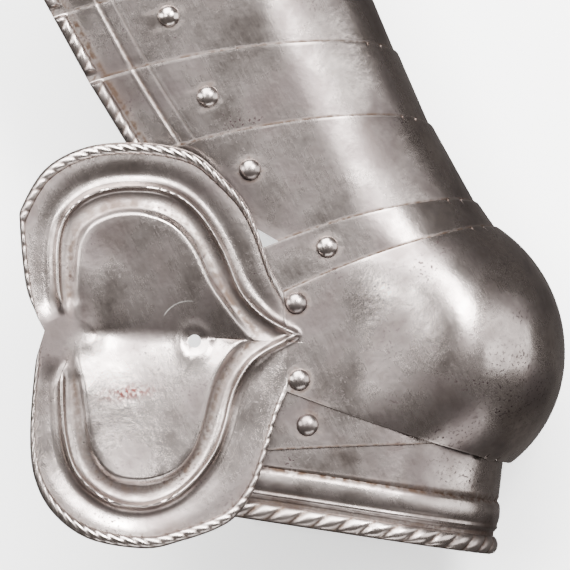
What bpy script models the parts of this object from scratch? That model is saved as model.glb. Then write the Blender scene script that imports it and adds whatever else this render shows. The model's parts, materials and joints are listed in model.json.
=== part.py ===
"""Articulated cuisse with its knee piece: eight steel plates that nest like a lobster's tail.

The leg lies on its inner side: X points to the front of the thigh, Y up the thigh, Z to the leg's outer side.
Lengths are in millimetres and become metres where a mesh is made.
"""

import math

import bmesh
import bpy
from mathutils import Matrix, Vector
from mathutils.bvhtree import BVHTree

MM = 0.001

SHEET = 1.0  # thickness of the steel
SEAT_GAP = 0.4  # air between two nested plates
STEP = SHEET + SEAT_GAP

THIGH_LEAN = 26.9  # degrees that the thigh leans back from the upright knee
SHIN_LEAN = 8.7  # degrees that the shin leans back the other way

HALF_WIDTH = 61.0  # half width of the innermost plates, at the pivots
FRONT_ROUND = 62.0  # front to back depth of the rounded front of a thigh plate
BACK_DROP = 4.0  # how far the outer side wall leans in at the open back
DROP_START = 0.6  # share of the side wall, from the front, at which it begins to lean in
INNER_CUT = 26.0  # how much shorter the plates are on the inner side
SHIN_CUT = 14.0
KNEE_BULGE = 8.0  # how far the knee cup stands out beyond its side walls
BULGE_END = 0.65  # share of the side wall, from the front, at which it has flattened out
KNEE_ROUND = 55.0  # front to back depth of the rounded front of the knee cup
REST_FLAT = 2.6  # depth hammered flat on the inner side of the knee cup

BEAD_WIDTH = 6.5  # rolled edge of the thigh plates
BEAD_RISE = 2.8
RIM_WIDTH = 9.0  # rolled lower rim
BAND_WIDTH = 18.0  # raised band above the lower rim
BAND_RISE = 1.6

WING_REACH = 132.0  # side wing, from its neck to its far edge
WING_RISE = 99.0  # upper lobe above the crease
WING_FALL = 102.8  # lower lobe below the crease
WING_FLARE = 15.0  # how far the wing's far edge stands away from the leg
WING_BEAD = 6.0
WING_BEAD_RISE = 2.6
RIDGE_RISE = 3.0
FIELD_RISE = 2.4
CREASE_DEPTH = 1.5
STRAP_HOLE = 6.5  # diameter of the punched hole in the wing

KNEE_REACH = 138.0  # neck to the front of the knee cup
KNEE_PEAK = -5.0  # direction of the farthest point, degrees from the crease
KNEE_TOP = 27.6  # direction of the upper and lower ends of the knee cup's front
KNEE_FOOT = -28.2
NECK_TOP = (-1.0, 24.5)
NECK_FOOT = (1.0, -24.8)
NECK_PLAY = 5.0  # the inner side of the knee cup ends this far behind the neck line

RIVET_HEAD = 11.0
RIVET_RISE = 3.4
RIVET_SHANK = 5.0
RIVET_BURR = 8.0
BURR_THICK = 1.0
HOLE_PLAY = 0.3
RIVET_SEAT = 0.45
ROUND_SIDES = 10

COVER = 16.0  # how far a plate reaches under its neighbour at the front
EAR = 8.0  # plate left round a pivot
BEAD_STOP = 2.5  # bare sheet between the end of a bead and the next plate

LEVEL_LOW = HALF_WIDTH
LEVEL_MID = HALF_WIDTH + STEP
LEVEL_TOP = HALF_WIDTH + 2 * STEP
REST_LEVEL = LEVEL_TOP + KNEE_BULGE - REST_FLAT

# Upper edges of the thigh plates, in the thigh's frame: front and back ends, and the rise between them.
THIGH_EDGES = {
    "top": {"front": (121.0, 262.0), "back": (-31.0, 290.0), "bow": 3.0},
    "first": {"front": (117.1, 137.9), "back": (-27.2, 195.3), "bow": 10.5},
    "second": {"front": (115.8, 101.9), "back": (-26.0, 158.1), "bow": 10.5},
    "third": {"front": (114.7, 61.0), "back": (-22.3, 113.4), "bow": 11.0},
    "fourth": {"front": (117.9, 16.3), "back": (2.3, 47.6), "bow": 8.0},
}
# Cross lines of the two shin plates, in the shin's frame.
SHIN_EDGES = {
    "cover": {"front": (118.4, -33.7), "back": (-12.0, -57.2), "bow": 1.5},
    "groove": {"front": (118.2, -63.2), "back": (-17.0, -63.2), "bow": 0.0},
    "rim": {"front": (118.2, -90.2), "back": (-19.0, -90.2), "bow": 0.0},
}
# Pivots, each in the frame of the plates that it joins.
PIVOTS = {
    "thigh": ("thigh", (21.4, 171.1)),
    "first": ("thigh", (20.7, 126.6)),
    "second": ("thigh", (23.0, 84.6)),
    "third": ("thigh", (39.9, 32.9)),
    "knee_top": ("knee", (5.3, 19.3)),
    "knee_foot": ("knee", (6.8, -18.8)),
    "shin": ("knee", (11.0, -41.3)),
}
# Outline of the wing's lobes: shares of the reach behind the neck and of the lobe's height.
UPPER_LOBE = [
    (0.008, 0.247), (0.062, 0.381), (0.108, 0.568), (0.161, 0.715), (0.255, 0.851),
    (0.361, 0.955), (0.531, 1.0), (0.739, 0.982), (0.898, 0.876), (0.989, 0.689),
    (1.0, 0.583), (0.977, 0.285), (0.932, 0.119),
]
LOWER_LOBE = [
    (-0.008, 0.241), (0.036, 0.377), (0.066, 0.509), (0.115, 0.708), (0.180, 0.835),
    (0.255, 0.903), (0.391, 0.964), (0.529, 1.0), (0.735, 0.956), (0.873, 0.830),
    (0.945, 0.655), (0.961, 0.431), (0.943, 0.124), (0.924, 0.017),
]
NOTCH = (0.907, 0.056)
# Rows across a lobe: distance in from the outline, share of the way to the crease where the lobe is
# narrow, share of an even spacing on the knee cup, and height in shares of the named rise.
LOBE_ROWS = [
    {"in": 0.0, "narrow": 0.0, "even": 0.0, "rise": 0.0, "of": WING_BEAD_RISE},
    {"in": 0.27 * WING_BEAD, "narrow": 0.065, "even": 0.07, "rise": 1.0, "of": WING_BEAD_RISE},
    {"in": 0.73 * WING_BEAD, "narrow": 0.18, "even": 0.16, "rise": 1.0, "of": WING_BEAD_RISE},
    {"in": WING_BEAD, "narrow": 0.245, "even": 0.26, "rise": 0.0, "of": WING_BEAD_RISE},
    {"in": 17.5, "narrow": 0.62, "even": 0.38, "rise": 0.0, "of": RIDGE_RISE},
    {"in": 20.0, "narrow": 0.74, "even": 0.5, "rise": 1.0, "of": RIDGE_RISE},
    {"in": 22.5, "narrow": 0.82, "even": 0.6, "rise": 0.1, "of": RIDGE_RISE},
    {"in": 27.0, "narrow": 0.88, "even": 0.7, "rise": -0.25, "of": RIDGE_RISE},
    {"in": 32.5, "narrow": 0.93, "even": 0.8, "rise": 0.4, "of": FIELD_RISE},
    {"in": 44.0, "narrow": 0.97, "even": 0.9, "rise": 1.0, "of": FIELD_RISE},
    {"in": 1000.0, "narrow": 1.0, "even": 1.0, "rise": -1.0, "of": CREASE_DEPTH},
]
WING_COLUMNS = 17

STEEL = {"polished": (0.55, 0.53, 0.51, 0.32), "rivet": (0.62, 0.61, 0.59, 0.24)}


def frame_axes(name):
    """Forward and up directions of a part of the leg, seen in the thigh's own frame."""
    turn = {"thigh": 0.0, "knee": -THIGH_LEAN, "shin": -THIGH_LEAN - SHIN_LEAN}[name]
    angle = math.radians(turn)
    forward = Vector((math.cos(angle), math.sin(angle)))
    return forward, Vector((-forward.y, forward.x))


def place(name, point):
    forward, up = frame_axes(name)
    return forward * point[0] + up * point[1]


def pivot_point(name):
    frame, point = PIVOTS[name]
    return place(frame, point)


def smooth(share):
    share = min(max(share, 0.0), 1.0)
    return share * share * (3 - 2 * share)


class Edge:
    """A cross line of a plate: a U that is round at the front and open at the back."""

    def __init__(self, frame, front, back, bow, outer, inner=None, rounding=FRONT_ROUND, **more):
        self.front = place(frame, front)
        self.back = place(frame, back)
        self.bow = bow
        self.outer = outer
        self.inner = outer if inner is None else inner
        self.rounding = rounding
        self.drop = more.get("drop", BACK_DROP)
        self.bulge = more.get("bulge", 0.0)
        self.outer_start = more.get("outer_start", 0.0)
        self.inner_start = more.get("inner_start", INNER_CUT)
        self.floor = more.get("floor", 1000.0)

    def copy(self, **changes):
        other = Edge.__new__(Edge)
        other.__dict__.update(self.__dict__)
        other.__dict__.update(changes)
        return other

    def inside(self, **changes):
        """The same line on the plate that lies one step further in."""
        along = (self.front - self.back).normalized()
        made = {
            "front": self.front - along * STEP,
            "outer": self.outer - STEP,
            "inner": self.inner - STEP,
        }
        made.update(changes)
        return self.copy(**made)

    def half(self, side_half, share, drop):
        """Half width at a share of the side wall, from the round front (0) to the open back (1)."""
        swell = self.bulge * (1 - smooth(share / BULGE_END))
        return side_half + swell - drop * max(share - DROP_START, 0) / (1 - DROP_START)

    def point(self, kind, value):
        along = (self.front - self.back).normalized()
        across = Vector((-along.y, along.x))
        depth = (self.front - self.back).length
        centre = depth - self.rounding
        quarter = self.rounding * math.pi / 2
        if kind == "arc":
            angle = math.radians(value)
            x = centre + self.rounding * math.cos(angle)
            side_half = self.outer if value > 0 else self.inner
            z = (side_half + self.bulge) * math.sin(angle)
            run = self.rounding * abs(angle)
        else:
            start = self.inner_start if kind == "inner" else self.outer_start
            x = start + value if kind == "bead" else centre + (start - centre) * value
            share = (centre - x) / (centre - start)
            z = -self.half(self.inner, share, 0.0) if kind == "inner" else self.half(self.outer, share, self.drop)
            run = quarter + centre - x
        way = run / (quarter + centre)
        rise = self.bow * 4 * way * (1 - way)
        spot = self.back + along * x + across * rise
        return Vector((spot.x, spot.y, max(z, -self.floor)))


def stations(beads, inner=(1.0, 0.5), outer=(DROP_START,), arc_step=15):
    """Places along a cross line, from the inner back edge over the front to the outer back edge."""
    found = [("inner", share) for share in inner]
    found += [("arc", angle) for angle in range(-90, 91, arc_step)]
    found += [("outer", share) for share in outer]
    found += [("bead", distance) for distance in beads]
    return found


BEAD_STATIONS = (BEAD_WIDTH, 0.73 * BEAD_WIDTH, 0.27 * BEAD_WIDTH, 0.0)
BEAD_HEIGHTS = {0.27 * BEAD_WIDTH: BEAD_RISE, 0.73 * BEAD_WIDTH: BEAD_RISE}


def blend_rows(first, last, share):
    return [a.lerp(b, share) for a, b in zip(first, last)]


def row_of(edge, places):
    return [edge.point(kind, value) for kind, value in places]


def tucked_places(places):
    """The same places with the open back edge set in, so that it stays clear of the neighbour's bead."""
    inset = BEAD_WIDTH + 1.5
    return [(kind, inset + 0.5 * value if kind == "bead" else value) for kind, value in places]


def guides(places, upper, lower):
    """Directions in which the walls of the covering plate run, from its edge onwards."""
    hidden = tucked_places(places)
    pairs = zip(row_of(upper, hidden), row_of(lower, hidden))
    return [(b - a).normalized() for a, b in pairs]


def reach_past(edge, pivot, places, runs):
    """How far the side wall runs on from an edge to cover a pivot and the ear round it."""
    wall = next(index for index, (kind, _) in enumerate(places) if kind == "outer")
    run = runs[wall].xy.normalized()
    along = (edge.front - edge.back).normalized()
    across = Vector((-along.y, along.x))
    offset = pivot - edge.back
    turn = along.cross(run)
    aside = offset.cross(run) / turn
    length = edge.rounding * math.pi / 2 + (edge.front - edge.back).length - edge.rounding
    way = min(1 - aside / length, 1.0)
    rise = edge.bow * 4 * way * (1 - way)
    return along.cross(offset) / turn - rise * across.dot(run) + EAR


def tucked_row(edge, places, pivot, share, wall_reach, runs):
    """A row under the neighbour: the front turns about the pivot, the side walls follow the neighbour."""
    side = 1 if (edge.front - edge.back).cross(runs[0].xy) > 0 else -1
    centre = Vector((pivot.x, pivot.y, 0.0))
    row = []
    for (kind, value), run in zip(tucked_places(places), runs):
        start = edge.point(kind, value)
        straight = start + run * wall_reach * share
        weight = smooth(2 * math.cos(math.radians(value))) if kind == "arc" else 0.0
        flat = Vector((start.x - pivot.x, start.y - pivot.y))
        turn = side * share * COVER / max(flat.length, 1.0)
        turned = Matrix.Rotation(turn, 3, "Z") @ (start - centre) + centre
        row.append(straight.lerp(turned, weight))
    return row


def slab(rows, columns):
    """A closed flat slab whose points carry their row, column and side in their coordinates."""
    mesh = bmesh.new()
    bmesh.ops.create_grid(mesh, x_segments=columns - 1, y_segments=rows - 1, size=0.5)
    grown = bmesh.ops.extrude_face_region(mesh, geom=mesh.faces[:])
    raised = [item for item in grown["geom"] if isinstance(item, bmesh.types.BMVert)]
    bmesh.ops.translate(mesh, vec=(0, 0, 1), verts=raised)
    return mesh


def surface_normals(grid):
    rows, columns = len(grid), len(grid[0])
    found = []
    for r in range(rows):
        line = []
        for c in range(columns):
            along = grid[r][min(c + 1, columns - 1)] - grid[r][max(c - 1, 0)]
            across = grid[min(r + 1, rows - 1)][c] - grid[max(r - 1, 0)][c]
            line.append(along.cross(across).normalized())
        found.append(line)
    return found


def shell(name, grid, heights, holes=()):
    """A plate of even thickness under a grid of points, with its relief raised on the outer face."""
    rows, columns = len(grid), len(grid[0])
    normals = surface_normals(grid)
    middle = normals[rows // 2][columns // 2]
    facing = 1 if middle.dot(grid[rows // 2][columns // 2] - grid[rows // 2][0]) > 0 else -1
    mesh = slab(rows, columns)
    for vert in mesh.verts:
        c = round((vert.co.x + 0.5) * (columns - 1))
        r = round((vert.co.y + 0.5) * (rows - 1))
        out = normals[r][c] * facing
        lift = heights[r][c] if vert.co.z > 0.5 else min(heights[r][c], 0.0) - SHEET
        if vert.co.z <= 0.5 and heights[r][c] > 0:
            lift = -SHEET
        vert.co = (grid[r][c] + out * lift) * MM
    bmesh.ops.recalc_face_normals(mesh, faces=mesh.faces[:])
    return add_object(name, mesh, "polished", holes)


def add_object(name, mesh, finish, holes=()):
    data = bpy.data.meshes.new(name)
    mesh.to_mesh(data)
    mesh.free()
    data.shade_smooth()
    data.set_sharp_from_angle(angle=math.radians(35))
    obj = bpy.data.objects.new(name, data)
    PARTS.objects.link(obj)
    data.materials.append(steel(name, finish))
    for cutter in holes:
        cut = obj.modifiers.new("hole", "BOOLEAN")
        cut.operation = "DIFFERENCE"
        cut.solver = "EXACT"
        cut.object = cutter
    return obj


def steel(name, finish):
    red, green, blue, roughness = STEEL[finish]
    material = bpy.data.materials.new(name + "_steel")
    material.use_nodes = True
    shader = material.node_tree.nodes["Principled BSDF"]
    shader.inputs["Base Color"].default_value = (red, green, blue, 1)
    shader.inputs["Metallic"].default_value = 1
    shader.inputs["Roughness"].default_value = roughness
    return material


def hole_cutter(name, spot, diameter, low, high):
    mesh = bmesh.new()
    bmesh.ops.create_cone(
        mesh, cap_ends=True, segments=ROUND_SIDES, radius1=diameter / 2 * MM,
        radius2=diameter / 2 * MM, depth=(high - low) * MM,
    )
    data = bpy.data.meshes.new(name)
    mesh.to_mesh(data)
    mesh.free()
    cutter = bpy.data.objects.new(name, data)
    CUTTERS.objects.link(cutter)
    cutter.location = Vector((spot.x, spot.y, (low + high) / 2)) * MM
    cutter.hide_render = True
    cutter.display_type = "WIRE"
    return cutter


def bead_heights(places, on):
    return [BEAD_HEIGHTS.get(value, 0.0) if kind == "bead" and on else 0.0 for kind, value in places]


def thigh_lame(name, upper, lower, pivot_below, holes, cover, beaded=True):
    """A plate between its own upper edge and the next plate's, with its tucked part below."""
    places = stations(BEAD_STATIONS)
    first, last = row_of(upper, places), row_of(lower, places)
    height = (upper.back - lower.back).length
    stop = 1 - BEAD_STOP / height
    ramp = stop - BEAD_STOP / height
    pivot = pivot_point(pivot_below)
    grid = [first]
    grid += [blend_rows(first, last, share) for share in (0.5 * ramp, ramp, stop)]
    grid.append(last)
    runs = guides(places, *cover)
    reach = reach_past(lower, pivot, places, runs)
    grid += [tucked_row(lower, places, pivot, share, reach, runs) for share in (0.5, 1.0)]
    beads = [beaded, beaded, beaded, False, False, False, False]
    heights = [bead_heights(places, on) for on in beads]
    return shell(name, grid, heights, holes)


def thigh_plate(name, top, lower, pivot_below, holes, cover):
    """The main plate, whose upper edge is rolled outwards all the way round."""
    places = stations(BEAD_STATIONS)
    first, last = row_of(top, places), row_of(lower, places)
    height = (top.back - lower.back).length
    pivot = pivot_point(pivot_below)
    shares = [0.0, 0.27 * BEAD_WIDTH / height, 0.73 * BEAD_WIDTH / height, BEAD_WIDTH / height]
    shares += [0.5, 1 - 2 * BEAD_STOP / height, 1 - BEAD_STOP / height, 1.0]
    grid = [blend_rows(first, last, share) for share in shares]
    runs = guides(places, *cover)
    reach = reach_past(lower, pivot, places, runs)
    grid += [tucked_row(lower, places, pivot, share, reach, runs) for share in (0.5, 1.0)]
    heights = [bead_heights(places, 3 <= r <= 5) for r in range(len(grid))]
    for r in (1, 2):
        heights[r] = [BEAD_RISE for _ in places]
        heights[r][0] = heights[r][-1] = 0.0
    return shell(name, grid, heights, holes)


def knee_edge(share):
    """A ray of the knee cup: from the neck to its front, with its upper end at share 0."""
    angle = KNEE_TOP + (KNEE_FOOT - KNEE_TOP) * share
    fall = 16.5 if angle > KNEE_PEAK else 20.0
    reach = KNEE_REACH - fall * ((angle - KNEE_PEAK) / 30) ** 2
    front = (reach * math.cos(math.radians(angle)), reach * math.sin(math.radians(angle)))
    back = [a + (b - a) * share for a, b in zip(NECK_TOP, NECK_FOOT)]
    return Edge(
        "knee", front, back, 6.0 * (1 - share) ** 3 - 2.0 * share**3, LEVEL_TOP,
        rounding=KNEE_ROUND, drop=0.0, bulge=KNEE_BULGE * math.sin(math.pi * share),
        inner_start=-NECK_PLAY, floor=REST_LEVEL,
    )


def lobe_curve(points, fall, share):
    """A point on a lobe's outline, at a share of its length, on a smooth curve through the points."""
    spots = [Vector((-x * WING_REACH, y * fall)) for x, y in points]
    steps = [(b - a).length for a, b in zip(spots, spots[1:])]
    run = share * sum(steps)
    index = 0
    while index < len(steps) - 1 and run > steps[index]:
        run -= steps[index]
        index += 1
    t = min(run / steps[index], 1.0)
    a, b = spots[index], spots[index + 1]
    before = spots[index - 1] if index else a * 2 - b
    after = spots[index + 2] if index + 2 < len(spots) else b * 2 - a
    return (
        a * 2 + (b - before) * t + (before * 2 - a * 5 + b * 4 - after) * t**2
        + (a * 3 - before - b * 3 + after) * t**3
    ) / 2


def wing_column(share):
    """Points and heights down one column of the wing, upper outline to crease to lower outline."""
    shift = share * (1 + 0.3 * (1 - share))
    notch = Vector((-NOTCH[0] * WING_REACH, NOTCH[1] * WING_RISE))
    crease = notch * shift
    neck_fade = smooth(share * 6)
    flat, lifts = [], []
    for points, fall in ((UPPER_LOBE, WING_RISE), (LOWER_LOBE, -WING_FALL)):
        rim = lobe_curve(points, fall, share)
        width = (crease - rim).length
        fade = smooth((width - 10) / 45)
        side, side_lifts = [], []
        for index, row in enumerate(LOBE_ROWS):
            inward = min(row["in"], row["narrow"] * width)
            side.append(rim.lerp(crease, inward / width))
            amount = row["rise"] * row["of"]
            side_lifts.append(amount * (neck_fade if index < 4 or amount < 0 else max(fade, 0.35)))
        flat.append(side)
        lifts.append(side_lifts)
    spots = flat[0] + flat[1][-2::-1]
    heights = lifts[0] + lifts[1][-2::-1]
    points = []
    for spot in spots:
        away = max(-spot.x, 0.0) / WING_REACH
        level = place("knee", spot)
        points.append(Vector((level.x, level.y, LEVEL_TOP + WING_FLARE * away**0.8)))
    return points, heights


def knee_cup(name, holes):
    """The knee cup and its side wing, one sheet: the wing grows out of the cup's outer back edge."""
    narrow = [row["narrow"] / 2 for row in LOBE_ROWS]
    even = [row["even"] / 2 for row in LOBE_ROWS]
    narrow += [1 - share for share in narrow[-2::-1]]
    even += [1 - share for share in even[-2::-1]]
    places = stations((9.0, 4.0, 0.0), inner=(1.0, 0.65, 0.33), outer=(0.33, 0.65))
    rises = [row["rise"] * row["of"] for row in LOBE_ROWS]
    rises += rises[-2::-1]
    columns, heights = [], []
    for kind, value in places:
        near_neck = 1 - smooth(value / 12) if kind == "bead" else 0.0
        mix = {"bead": 1.0, "outer": 0.5, "arc": 0.0, "inner": 0.0}[kind]
        shares = [a + (b - a) * mix for a, b in zip(even, narrow)]
        columns.append([knee_edge(share).point(kind, value) for share in shares])
        lifts = [max(rise, 0.0) * near_neck * 0.35 for rise in rises]
        lifts[:4] = lifts[-4:] = [0.0] * 4
        heights.append(lifts)
    for index in range(1, WING_COLUMNS + 1):
        points, lifts = wing_column(index / WING_COLUMNS)
        columns.append(points)
        heights.append(lifts)
    grid = [list(row) for row in zip(*columns)]
    rows = [list(row) for row in zip(*heights)]
    return shell(name, grid, rows, holes)


def shin_cover(name, edge, pivot, holes, cover):
    """The narrow plate between the knee cup and the lowest plate."""
    places = stations((BEAD_WIDTH, 0.0))
    middle = pivot_point(pivot)
    grid = [row_of(edge, places)]
    runs = guides(places, *cover)
    reach = reach_past(edge, middle, places, runs)
    grid += [tucked_row(edge, places, middle, share, reach, runs) for share in (0.33, 0.67, 1.0)]
    heights = [[0.0] * len(places) for _ in grid]
    return shell(name, grid, heights, holes)


def shin_plate(name, upper, groove, rim, pivot, holes):
    """The lowest plate: a raised band and a rolled rim below it."""
    places = stations((BEAD_WIDTH, 0.0))
    high, low, foot = (row_of(edge, places) for edge in (upper, groove, rim))
    height = (groove.front - rim.front).length
    middle = pivot_point(pivot)
    bumps = [
        (0.0, 0.0),
        (1.5, BAND_RISE),
        (0.5 * BAND_WIDTH, BAND_RISE * 1.15),
        (BAND_WIDTH, 0.0),
        (height - 0.75 * RIM_WIDTH, BEAD_RISE),
        (height - 0.25 * RIM_WIDTH, BEAD_RISE),
        (height, 0.0),
    ]
    runs = [place("knee", (0, 1)).to_3d()] * len(places)
    reach = reach_past(upper, middle, places, runs)
    grid = [tucked_row(upper, places, middle, share, reach, runs) for share in (1.0, 0.5)]
    grid.append(high)
    heights = [[0.0] * len(places) for _ in grid]
    for distance, rise in bumps:
        grid.append(blend_rows(low, foot, distance / height))
        heights.append([rise] * len(places))
    return shell(name, grid, heights, holes)


def rivet_mesh():
    """Domed head, shank and inner burr of a pivot, as the outline that a Screw modifier turns."""
    head, shank, burr = RIVET_HEAD / 2, RIVET_SHANK / 2, RIVET_BURR / 2
    grip = 2 * SHEET + SEAT_GAP + 2 * RIVET_SEAT
    outline = [
        (0.0, RIVET_RISE), (0.5 * head, 0.85 * RIVET_RISE), (0.86 * head, 0.5 * RIVET_RISE),
        (head, 0.0), (shank, 0.0), (shank, -grip), (burr, -grip),
        (burr, -grip - BURR_THICK), (0.0, -grip - BURR_THICK),
    ]
    data = bpy.data.meshes.new("pivot_rivet")
    points = [(x * MM, 0.0, z * MM) for x, z in outline]
    data.from_pydata(points, [(i, i + 1) for i in range(len(points) - 1)], [])
    return data


def add_rivet(name, data, carrier, spot, outer):
    """Seats a rivet on the outer face of the plate that lies on top."""
    tree = BVHTree.FromObject(carrier, bpy.context.evaluated_depsgraph_get())
    side = 1 if outer else -1
    start = Vector((spot.x * MM, spot.y * MM, side * 0.2))
    ring = RIVET_HEAD / 2 * MM * 0.8
    hits = []
    for step in range(8):
        angle = step * math.pi / 4
        offset = Vector((math.cos(angle), math.sin(angle), 0)) * ring
        hits.append(side * tree.ray_cast(start + offset, Vector((0, 0, -side)))[0].z)
    rivet = bpy.data.objects.new(name, data)
    PARTS.objects.link(rivet)
    rivet.location = (spot.x * MM, spot.y * MM, side * (max(hits) + (RIVET_SEAT - 0.1) * MM))
    rivet.rotation_euler.x = 0.0 if outer else math.pi
    turn = rivet.modifiers.new("turned", "SCREW")
    turn.steps = turn.render_steps = ROUND_SIDES
    turn.use_merge_vertices = True
    turn.merge_threshold = 0.00001
    return rivet


def stand_on_floor():
    """Moves everything so that the origin is below the middle of the whole object, at its lowest."""
    bpy.context.view_layer.update()
    graph = bpy.context.evaluated_depsgraph_get()
    low, high = Vector((9, 9, 9)), Vector((-9, -9, -9))
    for obj in PARTS.objects:
        evaluated = obj.evaluated_get(graph)
        for vert in evaluated.to_mesh().vertices:
            spot = evaluated.matrix_world @ vert.co
            low = Vector(map(min, low, spot))
            high = Vector(map(max, high, spot))
        evaluated.to_mesh_clear()
    shift = Vector((-(low.x + high.x) / 2, -(low.y + high.y) / 2, -low.z))
    root = bpy.data.objects.new("leg_frame", None)
    PARTS.objects.link(root)
    for obj in [*PARTS.objects, *CUTTERS.objects]:
        if obj is not root:
            obj.parent = root
    root.location = shift
    print("pivots, metres, in the finished frame:")
    for name in PIVOTS:
        spot = pivot_point(name) * MM
        print(name, round(spot.x + shift.x, 5), round(spot.y + shift.y, 5))
    print("shift", [round(value, 5) for value in shift])


for old in list(bpy.data.objects):
    bpy.data.objects.remove(old, do_unlink=True)
PARTS = bpy.data.collections.new("cuisse")
CUTTERS = bpy.data.collections.new("cutters")
for group in (PARTS, CUTTERS):
    bpy.context.scene.collection.children.link(group)

pivot_cutters = {
    name: hole_cutter(name + "_hole", pivot_point(name), RIVET_SHANK + 2 * HOLE_PLAY, -90, 90)
    for name in PIVOTS
}
strap_spot = place("knee", (-45.3, 0.3))
strap_cutter = hole_cutter("strap_hole", strap_spot, STRAP_HOLE, 40, 100)

edges = {
    name: Edge("thigh", row["front"], row["back"], row["bow"], LEVEL_MID)
    for name, row in THIGH_EDGES.items()
}
edges["top"] = edges["top"].copy(outer=LEVEL_MID + 3.6, inner=REST_LEVEL - BEAD_RISE)
edges["fourth"] = edges["fourth"].copy(drop=0.0)
knee_upper = knee_edge(0.0)
knee_lower = knee_edge(1.0)
shin_edges = {
    name: Edge("shin", row["front"], row["back"], row["bow"], LEVEL_MID, inner_start=SHIN_CUT, drop=0.0)
    for name, row in SHIN_EDGES.items()
}
groove = shin_edges["groove"].copy(outer=LEVEL_LOW, inner=LEVEL_LOW)
rim = shin_edges["rim"].copy(outer=LEVEL_LOW - 2.0, inner=REST_LEVEL - BEAD_RISE)

lower_lines = {
    "thigh": edges["first"].inside(),
    "first": edges["second"].inside(),
    "second": edges["third"].inside(),
    "third": edges["fourth"].inside(outer_start=17.0),
    "fourth": knee_upper.inside(outer_start=-6.0),
}
plates = {}
plates["thigh_plate"] = thigh_plate(
    "thigh_plate", edges["top"], lower_lines["thigh"], "thigh", [pivot_cutters["thigh"]],
    (edges["first"], lower_lines["first"]),
)
plates["first_lame"] = thigh_lame(
    "first_lame", edges["first"], lower_lines["first"], "first",
    [pivot_cutters["thigh"], pivot_cutters["first"]],
    (edges["second"], lower_lines["second"]),
)
plates["second_lame"] = thigh_lame(
    "second_lame", edges["second"], lower_lines["second"], "second",
    [pivot_cutters["first"], pivot_cutters["second"]],
    (edges["third"], lower_lines["third"]),
)
plates["third_lame"] = thigh_lame(
    "third_lame", edges["third"], lower_lines["third"], "third",
    [pivot_cutters["second"], pivot_cutters["third"]],
    (edges["fourth"], lower_lines["fourth"]), beaded=False,
)
plates["fourth_lame"] = thigh_lame(
    "fourth_lame", edges["fourth"], lower_lines["fourth"], "knee_top",
    [pivot_cutters["third"], pivot_cutters["knee_top"]],
    (knee_upper, knee_lower), beaded=False,
)
plates["knee_cup"] = knee_cup(
    "knee_cup", [pivot_cutters["knee_top"], pivot_cutters["knee_foot"], strap_cutter]
)
plates["shin_cover"] = shin_cover(
    "shin_cover", shin_edges["cover"], "knee_foot",
    [pivot_cutters["knee_foot"], pivot_cutters["shin"]],
    (knee_lower, knee_upper),
)
plates["shin_plate"] = shin_plate(
    "shin_plate", shin_edges["cover"].inside(), groove, rim, "shin", [pivot_cutters["shin"]]
)

# The plate that lies on top at each pivot carries the rivet.
CARRIERS = {
    "thigh": "first_lame",
    "first": "second_lame",
    "second": "third_lame",
    "third": "fourth_lame",
    "knee_top": "knee_cup",
    "knee_foot": "knee_cup",
    "shin": "shin_cover",
}
bpy.context.view_layer.update()
rivet_shape = rivet_mesh()
rivet_shape.materials.append(steel("rivet", "rivet"))
for pivot_name, carrier_name in CARRIERS.items():
    for outer_side in (True, False):
        add_rivet(
            f"{pivot_name}_rivet_{'outer' if outer_side else 'inner'}", rivet_shape,
            plates[carrier_name], pivot_point(pivot_name), outer_side,
        )
stand_on_floor()
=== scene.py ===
import copy
import math

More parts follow.
